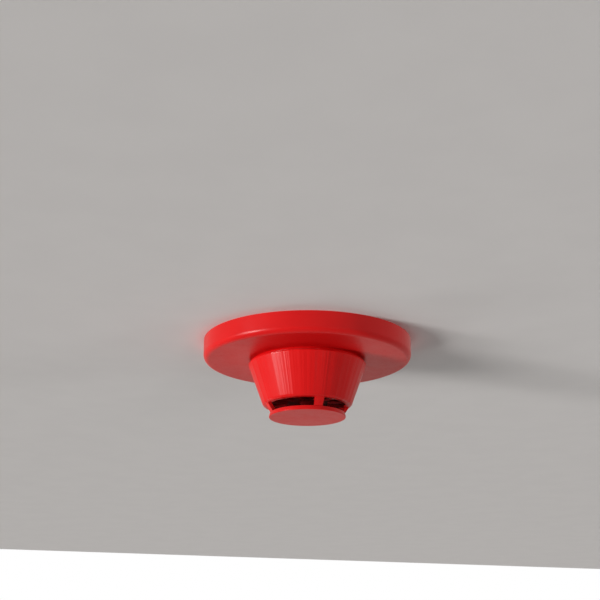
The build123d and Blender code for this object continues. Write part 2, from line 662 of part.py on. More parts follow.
def make_indicator_lens():
    """Clear rod through the cover wall with a flat head let into the taper."""
    stem = Pos(0, 0, LENS_PROUD - LENS_LENGTH / 2) * Cylinder(LENS_RADIUS, LENS_LENGTH)
    head = Pos(0, 0, LENS_PROUD - LENS_HEAD / 2) * Cylinder(LENS_HEAD_RADIUS, LENS_HEAD)
    return lens_frame() * (stem + head)


# %% Head: electronic parts

def make_package(x, y, length, width, height):
    """Moulded package hanging under the board, with its corners eased."""
    top = BOARD_BOTTOM + SOLDER_GAP
    body = block(length, width, top, top + height, x, y)
    return chamfer(body.edges().group_by(Axis.Z)[0], PACKAGE_CHAMFER_SHARE * height)


def make_chips(places, size):
    """A set of identical chip parts under the board."""
    length, width, height = size
    top = BOARD_BOTTOM + SOLDER_GAP
    return Compound(children=[block(length, width, top, top + height, x, y) for x, y in places])


def make_capacitor():
    """Can capacitor with a square foot and a pressed groove."""
    top = BOARD_BOTTOM + SOLDER_GAP
    foot_end = top + CAPACITOR_FOOT_HEIGHT
    can = block(CAPACITOR_FOOT, CAPACITOR_FOOT, top, foot_end, CAPACITOR_X, CAPACITOR_Y)
    can += rod(CAPACITOR_RADIUS, top, top + CAPACITOR_LENGTH, CAPACITOR_X, CAPACITOR_Y)
    groove = ring(CAPACITOR_RADIUS + OVERSHOOT, CAPACITOR_RADIUS - CAPACITOR_GROOVE,
                  foot_end + CAPACITOR_GROOVE, foot_end + 3 * CAPACITOR_GROOVE)
    return can - Pos(CAPACITOR_X, CAPACITOR_Y, 0) * groove


def make_reed_switch():
    """Glass reed switch with bent leads down to the board."""
    along_y = Rot(90, 0, 0)
    reach = REED_LENGTH / 2 + REED_LEAD
    switch = Cylinder(REED_RADIUS, REED_LENGTH) + Cylinder(REED_LEAD_RADIUS, 2 * reach)
    switch = Pos(REED_X, REED_Y, -REED_DEPTH) * along_y * switch
    for side in (-1, 1):
        switch += rod(REED_FOOT_RADIUS, BOARD_BOTTOM + SOLDER_GAP, REED_DEPTH + REED_FOOT_RADIUS, REED_X,
                      REED_Y + side * reach)
    return switch


def make_switch_body(x):
    """Housing of one rotary address switch on the top of the board."""
    body = block(SWITCH_SIDE, SWITCH_SIDE, SWITCH_TOP, BOARD_TOP - SOLDER_GAP, x)
    body = chamfer(body.edges().filter_by(Axis.Z), SWITCH_CORNER)
    return body - rod(ROTOR_RADIUS + ROTOR_CLEARANCE, 0, ROTOR_POCKET_BOTTOM, x)


def make_rotor(x):
    """Turning part of one address switch, with an arrow-shaped screwdriver slot."""
    rotor = rod(ROTOR_RADIUS, ROTOR_TOP, ROTOR_BOTTOM, x)
    arrow = extrude(make_face(Polyline(*ROTOR_ARROW, close=True)), SLOT_DEPTH + OVERSHOOT, dir=(0, 0, 1))
    return rotor - Pos(x, 0, -(ROTOR_TOP + SLOT_DEPTH)) * arrow


# %% Write every node

save(make_base_flange(), "base_flange")
save(make_gasket(), "ceiling_gasket")
save(make_mounting_base(), "mounting_base")
save(make_grommet(), "cable_grommet")
for number, azimuth in enumerate(CONTACT_AZIMUTHS, start=1):
    save(turned_to(azimuth, make_base_contact()), f"base_contact_{number}")
    save(turned_to(azimuth, make_contact_pad()), f"contact_pad_{number}")
save(Compound(children=[turned_to(azimuth, make_terminal_screw()) for azimuth in CONTACT_AZIMUTHS]),
     "terminal_screws")
save(Compound(children=[turned_to(azimuth, make_terminal_clamp()) for azimuth in CONTACT_AZIMUTHS]),
     "terminal_clamps")
save(Compound(children=[turned_to(azimuth, make_rivet()) for azimuth in CONTACT_AZIMUTHS]), "contact_rivets")
save(make_seal(), "head_seal")
save(make_head_cover(), "head_cover")
save(make_end_cap(), "end_cap")
save(make_chassis(), "head_chassis")
save(Compound(children=[make_chassis_screw(azimuth) for azimuth in BOSS_AZIMUTHS]), "chassis_screws")
save(make_board(), "circuit_board")
save(Compound(children=[make_board_screw(azimuth) for azimuth in BOARD_SCREW_AZIMUTHS]), "board_screws")
save(make_carrier(), "sensor_carrier")
save(make_bead_guard(), "bead_guard")
save(make_thermistor(0, 0, BEAD_DEPTH), "sensing_thermistor")
save(make_thermistor(REFERENCE_X, REFERENCE_Y, REFERENCE_DEPTH), "reference_thermistor")
save(make_alarm_lamp(), "alarm_lamp")
save(make_indicator_lens(), "indicator_lens")
save(make_package(*MICROCONTROLLER), "microcontroller")
save(make_package(*SUPPRESSOR), "surge_suppressor")
save(make_package(*RECTIFIER), "bridge_rectifier")
save(make_capacitor(), "smoothing_capacitor")
save(make_reed_switch(), "reed_switch")
save(make_chips(RESISTOR_PLACES, RESISTOR_SIZE), "chip_resistors")
save(make_chips(CERAMIC_PLACES, CERAMIC_SIZE), "ceramic_capacitors")
for name, side in (("tens", -1), ("units", 1)):
    save(make_switch_body(side * SWITCH_X), f"address_switch_{name}")
    save(make_rotor(side * SWITCH_X), f"address_rotor_{name}")
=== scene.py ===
# %% [markdown]
# # A red heat detector under a ceiling
# A point heat detector is a small plastic dome that hangs from a ceiling and reports fire when the air around its
# bead gets hot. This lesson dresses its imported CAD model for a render. The CAD keeps every shape and size. Blender
# adds the finishes, a few pieces that are too soft or too fine for CAD, the ceiling, the light and the camera.
# Lengths are in metres, +Z points up, and the ceiling face is z = 0, so everything hangs at negative z.

# %% Load the frame
import json
import math

import bmesh
import bpy
import numpy as np
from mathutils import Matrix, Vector


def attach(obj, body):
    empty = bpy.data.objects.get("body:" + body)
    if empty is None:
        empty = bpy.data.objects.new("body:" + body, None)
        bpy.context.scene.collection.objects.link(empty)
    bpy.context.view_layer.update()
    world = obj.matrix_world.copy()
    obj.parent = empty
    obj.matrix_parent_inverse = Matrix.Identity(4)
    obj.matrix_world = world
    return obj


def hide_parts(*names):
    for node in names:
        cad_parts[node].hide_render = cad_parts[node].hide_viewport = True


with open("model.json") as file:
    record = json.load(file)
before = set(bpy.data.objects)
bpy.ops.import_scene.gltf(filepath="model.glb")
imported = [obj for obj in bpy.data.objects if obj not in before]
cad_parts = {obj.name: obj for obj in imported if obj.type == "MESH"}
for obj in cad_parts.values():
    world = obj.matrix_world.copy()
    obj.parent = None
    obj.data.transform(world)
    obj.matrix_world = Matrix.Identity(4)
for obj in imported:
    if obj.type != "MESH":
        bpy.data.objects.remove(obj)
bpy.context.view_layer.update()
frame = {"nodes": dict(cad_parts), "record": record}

nodes_by_name = frame["nodes"]
scene = bpy.context.scene

# %% [markdown]
# ## Colour handling
# A film-like view transform washes out a strong red, because it was made to soften bright colours. The Standard
# transform shows the red as saturated as the plastic is, so it is the honest choice for a product picture with
# little contrast.

# %% Colour handling
scene.view_settings.view_transform = "Standard"
scene.view_settings.look = "None"
print("view transform:", scene.view_settings.view_transform)

# %% [markdown]
# ## The camera
# The eye is a little below the ceiling, about 0.8 m away, and looks up at the detector. A position could be typed
# in as three numbers, but a bearing, a distance and a drop below the ceiling are easier to picture and to change.
# The bearing is counted as a compass of the object: 0 looks along +Y.

# %% Camera
CAMERA_BEARING = math.radians(28.0)
CAMERA_DISTANCE = 0.7806
CAMERA_DROP = 0.2338
CAMERA_PITCH = math.radians(18.85)
CAMERA_TURN = math.radians(0.385)
CAMERA_LENS = 67.05


def level_direction(bearing):
    """Horizontal unit vector of a look along a bearing: bearing 0 is +Y, and it turns towards -X."""
    return Vector((-math.sin(bearing), math.cos(bearing), 0.0))


camera_data = bpy.data.cameras.new("studio_camera")
camera = bpy.data.objects.new("studio_camera", camera_data)
scene.collection.objects.link(camera)
scene.camera = camera
camera_data.lens = CAMERA_LENS
camera.location = -CAMERA_DISTANCE * level_direction(CAMERA_BEARING) - Vector((0, 0, CAMERA_DROP))
look = level_direction(CAMERA_BEARING + CAMERA_TURN) * math.cos(CAMERA_PITCH)
look.z = math.sin(CAMERA_PITCH)
camera.rotation_mode = "QUATERNION"
camera.rotation_quaternion = look.to_track_quat("-Z", "Y")
print("camera at", [round(v, 3) for v in camera.location])

# %% [markdown]
# ## Shader groups
# Real plastic is never one colour. A mould leaves a fine grain and a slow waviness, hands and air leave dust, and
# metal parts carry hairline scuffs. Each of these effects is used by several finishes, so each is a node group that
# is built once. A group only puts out masks and heights. The shader that uses them stays in its own material.

# %% A helper that starts a group


def start_group(name, inputs, outputs):
    """Makes an empty shader group with float inputs (name, default) and float outputs, plus a Vector input."""
    group = bpy.data.node_groups.new(name, "ShaderNodeTree")
    group.interface.new_socket("Vector", in_out="INPUT", socket_type="NodeSocketVector")
    for label, value in inputs:
        socket = group.interface.new_socket(label, in_out="INPUT", socket_type="NodeSocketFloat")
        socket.default_value = value
    for label in outputs:
        group.interface.new_socket(label, in_out="OUTPUT", socket_type="NodeSocketFloat")
    return group, group.nodes.new("NodeGroupInput"), group.nodes.new("NodeGroupOutput")


def wire(tree, source, target):
    """Joins an output socket to an input socket, or sets the input when the source is a plain number."""
    if isinstance(source, bpy.types.NodeSocket):
        tree.links.new(source, target)
    else:
        target.default_value = source


def math_node(tree, operation, *values, clamp=False):
    """One Math node; each value is a socket or a number. Returns its output."""
    node = tree.nodes.new("ShaderNodeMath")
    node.operation = operation
    node.use_clamp = clamp
    for value, socket in zip(values, node.inputs):
        wire(tree, value, socket)
    return node.outputs[0]


def vector_node(tree, operation, *values):
    """One Vector Math node; returns its vector output."""
    node = tree.nodes.new("ShaderNodeVectorMath")
    node.operation = operation
    for value, socket in zip(values, node.inputs):
        wire(tree, value, socket)
    return node.outputs["Vector"]


def noise_node(tree, vector, scale, detail=2.0, roughness=0.5):
    """One Noise texture; returns its 0 to 1 value."""
    node = tree.nodes.new("ShaderNodeTexNoise")
    wire(tree, vector, node.inputs["Vector"])
    wire(tree, scale, node.inputs["Scale"])
    node.inputs["Detail"].default_value = detail
    node.inputs["Roughness"].default_value = roughness
    return node.outputs[0]


def ramp_value(tree, value, low, high):
    """Smooth 0 to 1 mask between two thresholds, as a Map Range node."""
    node = tree.nodes.new("ShaderNodeMapRange")
    node.interpolation_type = "SMOOTHSTEP"
    wire(tree, value, node.inputs["Value"])
    node.inputs["From Min"].default_value = low
    node.inputs["From Max"].default_value = high
    return node.outputs[0]


print("group helpers ready")

# %% [markdown]
# ### Moulded grain
# Three noises of very different size: the spark-eroded grain of the mould (about 0.4 mm), the slow waviness of a
# cooled wall (about 4 mm), and clouds of slightly uneven colour (about 40 mm).

# %% Moulded grain group
CLOUD_SCALE = 26.0
BLOTCH_SCALE = 95.0


def make_grain_group():
    """Height = waviness and grain added by their shares; Tone = clouds; Gloss = blotches from noise."""
    group, given, made = start_group(
        "moulded_grain", [("Grain Scale", 2400.0), ("Wave Scale", 260.0), ("Wave Share", 0.6)],
        ["Height", "Tone", "Gloss"])
    vector = given.outputs["Vector"]
    fine = noise_node(group, vector, given.outputs["Grain Scale"], detail=3.0, roughness=0.6)
    slow = noise_node(group, vector, given.outputs["Wave Scale"], detail=1.5)
    share = given.outputs["Wave Share"]
    rest = math_node(group, "SUBTRACT", 1.0, share)
    height = math_node(group, "ADD", math_node(group, "MULTIPLY", slow, share),
                       math_node(group, "MULTIPLY", fine, rest))
    wire(group, height, made.inputs["Height"])
    clouds = noise_node(group, vector, CLOUD_SCALE, detail=4.0)
    blotches = noise_node(group, vector, BLOTCH_SCALE, detail=5.0, roughness=0.62)
    wire(group, ramp_value(group, clouds, 0.3, 0.7), made.inputs["Tone"])
    wire(group, ramp_value(group, blotches, 0.3, 0.72), made.inputs["Gloss"])
    return group


grain_group = make_grain_group()
print("group:", grain_group.name)

# %% [markdown]
# ### Draw lines
# A tapered cover is pulled off its core along its axis, and the core was polished along its axis too. That leaves
# faint upright lines all round the head. Noise on the wall's direction from the axis, almost constant along the
# axis, gives them with no seam, which an angle in degrees would have at 180.

# %% Draw lines group


def make_draw_group():
    """Height = noise of (x, y) divided by their length, times Count, with z times Stretch as the third axis."""
    group, given, made = start_group("draw_lines", [("Count", 9.0), ("Stretch", 3.0)], ["Height"])
    parts = group.nodes.new("ShaderNodeSeparateXYZ")
    wire(group, given.outputs["Vector"], parts.inputs[0])
    flat = group.nodes.new("ShaderNodeCombineXYZ")
    wire(group, parts.outputs[0], flat.inputs[0])
    wire(group, parts.outputs[1], flat.inputs[1])
    unit = vector_node(group, "NORMALIZE", flat.outputs[0])
    spread = group.nodes.new("ShaderNodeVectorMath")
    spread.operation = "SCALE"
    wire(group, unit, spread.inputs[0])
    wire(group, given.outputs["Count"], spread.inputs["Scale"])
    lift = group.nodes.new("ShaderNodeCombineXYZ")
    wire(group, math_node(group, "MULTIPLY", parts.outputs[2], given.outputs["Stretch"]), lift.inputs[2])
    place = vector_node(group, "ADD", spread.outputs[0], lift.outputs[0])
    wire(group, noise_node(group, place, 1.0, detail=2.5, roughness=0.55), made.inputs["Height"])
    return group


draw_group = make_draw_group()
print("group:", draw_group.name)

# %% [markdown]
# ### Dust
# Dust lies on faces that look up and stays out of the way on faces that look down, in small uneven drifts.

# %% Dust group
DRIFT_SCALE = 160.0


def make_dust_group():
    """Mask = how far the face looks up, times noise drifts, times Amount."""
    group, given, made = start_group("settled_dust", [("Amount", 0.3)], ["Mask"])
    shape = group.nodes.new("ShaderNodeNewGeometry")
    parts = group.nodes.new("ShaderNodeSeparateXYZ")
    wire(group, shape.outputs["Normal"], parts.inputs[0])
    upward = ramp_value(group, parts.outputs[2], 0.2, 0.95)
    speckle = noise_node(group, given.outputs["Vector"], DRIFT_SCALE, detail=6.0, roughness=0.65)
    drift = ramp_value(group, speckle, 0.35, 0.75)
    mask = math_node(group, "MULTIPLY", math_node(group, "MULTIPLY", upward, drift), given.outputs["Amount"])
    wire(group, mask, made.inputs["Mask"])
    return group


dust_group = make_dust_group()
print("group:", dust_group.name)

# %% [markdown]
# ### Hairline scuffs
# A scuff is a line much longer than it is wide. Noise on coordinates that are squeezed one way gives long thin
# shapes, and a narrow band cut out of them gives hairlines. Two directions are laid over each other.

# %% Scuff group
SCUFF_STRETCHES = ((1.0, 14.0, 5.0), (12.0, 1.5, 6.0))


def make_scuff_group():
    """Mask = the larger of two thin bands cut from noises stretched along two directions."""
    group, given, made = start_group("hairline_scuffs", [("Scale", 60.0), ("Width", 0.012)], ["Mask"])
    bands = []
    for stretch in SCUFF_STRETCHES:
        placed = vector_node(group, "MULTIPLY", given.outputs["Vector"], stretch)
        noise = noise_node(group, placed, given.outputs["Scale"], detail=1.0)
        away = math_node(group, "ABSOLUTE", math_node(group, "SUBTRACT", noise, 0.5))
        bands.append(math_node(group, "LESS_THAN", away, given.outputs["Width"]))
    wire(group, math_node(group, "MAXIMUM", *bands), made.inputs["Mask"])
    return group


scuff_group = make_scuff_group()
print("group:", scuff_group.name)

# %% [markdown]
# ## Finishes
# Every finish below is one material made by a short function. Object coordinates place the patterns, because the
# CAD pieces have no UV maps and each of them sits at the origin, so a pattern runs on from one piece to the next at
# its true size.

# %% Helpers for materials
# A Mix node has sockets for every data type; these are the numbers of its colour sockets.
COLOUR_A, COLOUR_B, COLOUR_RESULT = 6, 7, 2


class Finish:
    """A material with its tree, its Object coordinates, its Principled shader and short ways to add nodes."""

    def __init__(self, name):
        self.material = bpy.data.materials.new(name)
        self.material.use_nodes = True
        self.tree = self.material.node_tree
        self.shader = self.tree.nodes["Principled BSDF"]
        self.place = self.tree.nodes.new("ShaderNodeTexCoord").outputs["Object"]

    def group(self, group, **values):
        """Places a group, feeds it Object coordinates, and sets its other inputs by name."""
        node = self.tree.nodes.new("ShaderNodeGroup")
        node.node_tree = group
        wire(self.tree, self.place, node.inputs["Vector"])
        for label, value in values.items():
            node.inputs[label.replace("_", " ")].default_value = value
        return node.outputs

    def mix(self, mask, first, second):
        """Colour that goes from first to second with the mask."""
        node = self.tree.nodes.new("ShaderNodeMix")
        node.data_type = "RGBA"
        wire(self.tree, mask, node.inputs["Factor"])
        for value, slot in ((first, COLOUR_A), (second, COLOUR_B)):
            wire(self.tree, value if isinstance(value, bpy.types.NodeSocket) else (*value, 1.0), node.inputs[slot])
        return node.outputs[COLOUR_RESULT]

    def between(self, mask, low, high):
        """Number that goes from low to high with the mask."""
        node = self.tree.nodes.new("ShaderNodeMapRange")
        wire(self.tree, mask, node.inputs["Value"])
        node.inputs["To Min"].default_value = low
        node.inputs["To Max"].default_value = high
        return node.outputs[0]

    def bump(self, height, distance, strength=1.0, normal=None):
        """Bump of a height field, distance in metres, laid over an earlier normal."""
        node = self.tree.nodes.new("ShaderNodeBump")
        node.inputs["Strength"].default_value = strength
        node.inputs["Distance"].default_value = distance
        wire(self.tree, height, node.inputs["Height"])
        if normal is not None:
            wire(self.tree, normal, node.inputs["Normal"])
        return node.outputs[0]

    def set(self, **values):
        """Sets or joins Principled sockets by name."""
        for label, value in values.items():
            wire(self.tree, value, self.shader.inputs[label.replace("_", " ")])


print("finish helper ready")

# %% [markdown]
# ### Moulded plastics
# The red shell is a glossy plastic coloured right through: a strong red with a little tone change, a wavy skin and
# faint draw lines. The ivory base plate and the black inner parts use the same recipe with a coarser grain and less
# gloss, so one function makes them all.

# %% Plastics
DUST_COLOUR = (0.56, 0.53, 0.49)
SCUFF_DULLS = 0.08
DUST_DULLS = 0.3
PLASTIC_IOR = 1.45


def make_plastic(name, deep, light, smooth, dull, grain=2400.0, wave=260.0, depth=0.00002, lines=0.0, dust=0.3,
                 shine=0.5):
    """Two tones mixed by clouds, roughness between smooth and dull by blotches, bump from grain and lines.

    Scales count per metre; depth and lines are bump heights in metres; shine is the strength of the reflection.
    """
    finish = Finish(name)
    skin = finish.group(grain_group, Grain_Scale=grain, Wave_Scale=wave)
    mask = finish.group(dust_group, Amount=dust)["Mask"]
    scuffs = finish.group(scuff_group, Scale=45.0, Width=0.006)["Mask"]
    gloss = finish.between(skin["Gloss"], smooth, dull)
    gloss = math_node(finish.tree, "MULTIPLY_ADD", scuffs, SCUFF_DULLS, gloss)
    gloss = math_node(finish.tree, "MULTIPLY_ADD", mask, DUST_DULLS, gloss, clamp=True)
    normal = finish.bump(skin["Height"], depth)
    if lines:
        drawn = finish.group(draw_group, Count=9.0, Stretch=4.0)
        normal = finish.bump(drawn["Height"], lines, normal=normal)
    finish.set(Base_Color=finish.mix(mask, finish.mix(skin["Tone"], deep, light), DUST_COLOUR),
               Roughness=gloss, Normal=normal)
    finish.shader.inputs["IOR"].default_value = PLASTIC_IOR
    finish.shader.inputs["Specular IOR Level"].default_value = shine
    return finish.material


RED_DEEP = (0.60, 0.0035, 0.0040)
RED_LIGHT = (0.65, 0.0055, 0.0060)
red_shell = make_plastic("red_shell", RED_DEEP, RED_LIGHT, 0.28, 0.36, dust=0.12)
red_drawn = make_plastic("red_drawn", RED_DEEP, RED_LIGHT, 0.28, 0.36, lines=0.0007, dust=0.12)
# dark_red_plastic dresses the sensor carrier: red plastic made nearly black as painted shade, so the chamber seen
# through the windows looks dark and unlit.
dark_red_plastic = make_plastic("dark_red_plastic", (0.085, 0.001, 0.0015), (0.11, 0.0015, 0.002), 0.6, 0.75,
                                grain=1500.0, depth=0.00005, dust=0.1, shine=0.12)
ivory_plastic = make_plastic("ivory_plastic", (0.70, 0.66, 0.56), (0.76, 0.73, 0.64), 0.42, 0.56, grain=1700.0,
                             depth=0.00005, dust=0.22)
black_plastic = make_plastic("black_plastic", (0.012, 0.012, 0.013), (0.020, 0.019, 0.019), 0.45, 0.62,
                             grain=1500.0, depth=0.00006, dust=0.2)
black_rubber = make_plastic("black_rubber", (0.016, 0.016, 0.017), (0.034, 0.033, 0.032), 0.62, 0.82, grain=1100.0,
                            wave=420.0, depth=0.00008, dust=0.14)
chip_black = make_plastic("chip_black", (0.018, 0.018, 0.020), (0.030, 0.030, 0.033), 0.5, 0.7, grain=5200.0,
                          depth=0.00003, dust=0.05)
chip_tan = make_plastic("chip_tan", (0.42, 0.31, 0.20), (0.56, 0.44, 0.31), 0.35, 0.5, grain=6000.0, depth=0.00002,
                        dust=0.05)
switch_body = make_plastic("switch_body", (0.03, 0.06, 0.14), (0.05, 0.09, 0.2), 0.35, 0.5, depth=0.00003, dust=0.1)
rotor_orange = make_plastic("rotor_orange", (0.72, 0.24, 0.03), (0.82, 0.32, 0.05), 0.4, 0.55, depth=0.00003,
                            dust=0.05)
print("plastics:", 10)

# %% [markdown]
# ### Metals
# Zinc-plated steel is bluish and slightly cloudy, brass is warm, spring bronze redder, and a drawn aluminium can is
# bright with fine lines. They differ in colour and roughness and share the scuffs.

# %% Metals


def make_metal(name, deep, light, smooth, dull, depth=0.00001):
    """Metallic shader: two tones by clouds, roughness by blotches and scuffs, a shallow grain as bump."""
    finish = Finish(name)
    skin = finish.group(grain_group, Grain_Scale=3800.0, Wave_Scale=700.0, Wave_Share=0.5)
    scuffs = finish.group(scuff_group, Scale=160.0, Width=0.02)["Mask"]
    gloss = finish.between(skin["Gloss"], smooth, dull)
    finish.set(Base_Color=finish.mix(skin["Tone"], deep, light),
               Roughness=math_node(finish.tree, "MULTIPLY_ADD", scuffs, 0.12, gloss),
               Normal=finish.bump(skin["Height"], depth))
    finish.shader.inputs["Metallic"].default_value = 1.0
    return finish.material


zinc_steel = make_metal("zinc_steel", (0.50, 0.51, 0.53), (0.66, 0.67, 0.68), 0.26, 0.42)
brass_parts = make_metal("brass_parts", (0.62, 0.44, 0.18), (0.80, 0.62, 0.30), 0.22, 0.38)
bronze_spring = make_metal("bronze_spring", (0.60, 0.37, 0.20), (0.76, 0.52, 0.31), 0.24, 0.36)
can_aluminium = make_metal("can_aluminium", (0.66, 0.67, 0.68), (0.80, 0.80, 0.81), 0.2, 0.34)
tin_solder = make_metal("tin_solder", (0.56, 0.56, 0.57), (0.74, 0.74, 0.75), 0.18, 0.3)
print("metals:", 5)

# %% [markdown]
# ### Closed-cell foam
# The gasket is punched from foam sheet. Its cut cells are small pits of many sizes, which Voronoi cells give: the
# distance to the middle of each cell is its depth. The pit bottoms are painted darker than the walls: painted shade.

# %% Foam
FOAM_CELL_SCALES = (1100.0, 2600.0)


def make_foam():
    """Bump from Voronoi distance at two cell sizes; colour from it as painted pit shade, over grain clouds."""
    finish = Finish("grey_foam")
    tone = finish.group(grain_group, Grain_Scale=1800.0)["Tone"]
    pits = []
    for scale in FOAM_CELL_SCALES:
        cells = finish.tree.nodes.new("ShaderNodeTexVoronoi")
        wire(finish.tree, finish.place, cells.inputs["Vector"])
        cells.inputs["Scale"].default_value = scale
        pits.append(cells.outputs["Distance"])
    pit = math_node(finish.tree, "MULTIPLY_ADD", pits[1], 0.4, pits[0])
    wall_and_pit_shade = ramp_value(finish.tree, pit, 0.25, 0.8)
    # The darker base grey at the pit bottoms and the lighter grey on the cell walls are painted shade of the pits.
    base = finish.mix(tone, (0.10, 0.105, 0.11), (0.16, 0.165, 0.17))
    finish.set(Base_Color=finish.mix(wall_and_pit_shade, base, (0.27, 0.275, 0.28)), Roughness=finish.between(wall_and_pit_shade, 0.95, 0.8),
               Normal=finish.bump(pit, 0.00025))
    return finish.material


grey_foam = make_foam()
print("foam:", grey_foam.name)

# %% [markdown]
# ### Board laminate
# Green solder resist lies over glass cloth and copper. The cloth's weave shows as a very fine grid, and the copper
# tracks show through as paler bands. Two wave textures, one each way, give the grid.

# %% Laminate
WEAVE_SCALE = 420.0
TRACK_SCALE = 120.0
TRACK_STEP = 0.0008


def make_laminate():
    """Green by weave and tracks: weave = product of two fine waves; tracks = bands cut from blocky noise."""
    finish = Finish("board_laminate")
    tree = finish.tree
    waves = []
    for direction in ("X", "Y"):
        wave = tree.nodes.new("ShaderNodeTexWave")
        wave.bands_direction = direction
        wire(tree, finish.place, wave.inputs["Vector"])
        wave.inputs["Scale"].default_value = WEAVE_SCALE
        waves.append(wave.outputs[1])
    weave = math_node(tree, "MULTIPLY", *waves)
    steps = vector_node(tree, "SNAP", finish.place, (TRACK_STEP, TRACK_STEP, TRACK_STEP))
    noise = noise_node(tree, steps, TRACK_SCALE, detail=0.0)
    tracks = ramp_value(tree, math_node(tree, "ABSOLUTE", math_node(tree, "SUBTRACT", noise, 0.5)), 0.05, 0.03)
    green = finish.mix(weave, (0.010, 0.090, 0.040), (0.014, 0.120, 0.052))
    finish.set(Base_Color=finish.mix(tracks, green, (0.03, 0.22, 0.10)), Roughness=finish.between(weave, 0.3, 0.42),
               Normal=finish.bump(tracks, 0.00004))
    return finish.material


board_laminate = make_laminate()
print("laminate:", board_laminate.name)

# %% [markdown]
# ### Glass and clear plastic
# The lens, the reed tube and the lamp pass light. They keep a plain Metallic and Transmission Weight, and only their
# colour, roughness and skin vary.

# %% Glass
CLEAR_IOR = 1.49


def make_clear(name, deep, light, smooth, dull, passing, depth=0.00001):
    """Clear shader: tint by clouds, roughness by blotches, faint waviness as bump."""
    finish = Finish(name)
    skin = finish.group(grain_group, Grain_Scale=1400.0, Wave_Scale=500.0, Wave_Share=0.8)
    finish.set(Base_Color=finish.mix(skin["Tone"], deep, light),
               Roughness=finish.between(skin["Gloss"], smooth, dull), Normal=finish.bump(skin["Height"], depth))
    finish.shader.inputs["Transmission Weight"].default_value = passing
    finish.shader.inputs["IOR"].default_value = CLEAR_IOR
    return finish.material


lens_clear = make_clear("lens_clear", (0.82, 0.78, 0.77), (0.90, 0.87, 0.86), 0.14, 0.24, 0.55)
reed_glass = make_clear("reed_glass", (0.50, 0.70, 0.56), (0.60, 0.80, 0.66), 0.03, 0.08, 0.8)
lamp_red = make_clear("lamp_red", (0.50, 0.03, 0.02), (0.66, 0.06, 0.04), 0.12, 0.22, 0.35)
bead_glass = make_clear("bead_glass", (0.07, 0.03, 0.015), (0.12, 0.06, 0.03), 0.1, 0.2, 0.15)
print("clear finishes:", 4)

# %% [markdown]
# ## Dressing the CAD pieces
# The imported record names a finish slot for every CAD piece. Reading the slots from the record keeps this scene and
# the CAD in step: a piece that changes its slot there changes its look here.

# %% Dress the CAD pieces
finishes = {
    "red_shell": red_shell, "ivory_plastic": ivory_plastic, "grey_foam": grey_foam, "black_rubber": black_rubber,
    "black_plastic": black_plastic, "zinc_steel": zinc_steel, "brass_parts": brass_parts,
    "bronze_spring": bronze_spring, "board_laminate": board_laminate, "chip_black": chip_black,
    "chip_tan": chip_tan, "can_aluminium": can_aluminium, "reed_glass": reed_glass, "bead_glass": bead_glass,
    "lamp_red": lamp_red, "lens_clear": lens_clear, "switch_body": switch_body, "rotor_orange": rotor_orange,
    "dark_red_plastic": dark_red_plastic,
}


def dress(target, material):
    """Gives every material slot of an object one finish."""
    if not target.material_slots:
        target.data.materials.append(material)
    for part in target.material_slots:
        part.material = material


slot_of = {row["node"]: row["material_slot"] for row in frame["record"]["subparts"]}
for node_name, node in nodes_by_name.items():
    dress(node, finishes[slot_of[node_name]])
dress(nodes_by_name["head_cover"], red_drawn)
print("dressed:", len(nodes_by_name), "slots named in the record:", len(slot_of))

# %% [markdown]
# ## Shapes from formulas
# The pieces that CAD keeps plain are made here as surfaces worked out in whole arrays: a grid of points, and quads
# between neighbouring points. Points that fall on each other, as at the tip of a drop, are welded, so every shape
# is closed. Lengths in these shapes are in millimetres until the mesh is made.

# %% Surface helpers
MM = 0.001
WELD_STEP = 0.0001
ROUND_STEPS = 6


def grid_faces(rows, columns, wrap_rows=False, wrap_columns=False):
    """Quads of a grid of points in row order; a wrapped direction closes on itself."""
    row = np.arange(rows if wrap_rows else rows - 1)[:, None]
    column = np.arange(columns if wrap_columns else columns - 1)[None, :]
    next_row, next_column = (row + 1) % rows, (column + 1) % columns
    corners = [row * columns + column, row * columns + next_column,
               next_row * columns + next_column, next_row * columns + column]
    return np.stack(corners, axis=-1).reshape(-1, 4)


def welded(points, faces):
    """Merges points on the same grid cell of WELD_STEP, and drops corners and faces that vanish by it."""
    flat = points.reshape(-1, 3)
    cells = np.round(flat / WELD_STEP).astype(np.int64)
    _, first, where = np.unique(cells, axis=0, return_index=True, return_inverse=True)
    rows = [list(dict.fromkeys(row)) for row in where.reshape(-1)[faces].tolist()]
    return flat[first], [row for row in rows if len(row) > 2]


def make_mesh(name, points, faces, smooth=True):
    """Object at the origin from points in metres and faces; faces are turned outwards on a closed shape."""
    mesh = bpy.data.meshes.new(name)
    mesh.from_pydata(points.reshape(-1, 3).tolist(), [], list(faces))
    shape = bmesh.new()
    shape.from_mesh(mesh)
    bmesh.ops.recalc_face_normals(shape, faces=shape.faces)
    shape.to_mesh(mesh)
    shape.free()
    mesh.polygons.foreach_set("use_smooth", np.full(len(mesh.polygons), smooth))
    mesh.update()
    made = bpy.data.objects.new(name, mesh)
    scene.collection.objects.link(made)
    return made


def joined(*shapes):
    """Several (points, faces) shapes as one, with the face numbers shifted."""
    points, faces, count = [], [], 0
    for some_points, some_faces in shapes:
        points.append(some_points)
        faces += [[corner + count for corner in face] for face in some_faces]
        count += len(some_points)
    return np.concatenate(points), faces


def rounded(corners, radius):
    """Closed outline with each corner replaced by a parabola that starts and ends a radius away from it."""
    corners = np.array(corners, float)
    before, after = np.roll(corners, 1, axis=0) - corners, np.roll(corners, -1, axis=0) - corners
    start = corners + before * radius / np.linalg.norm(before, axis=1)[:, None]
    end = corners + after * radius / np.linalg.norm(after, axis=1)[:, None]
    t = np.linspace(0, 1, ROUND_STEPS)[None, :, None]
    curve = (1 - t) ** 2 * start[:, None] + 2 * t * (1 - t) * corners[:, None] + t ** 2 * end[:, None]
    return curve.reshape(-1, 2)


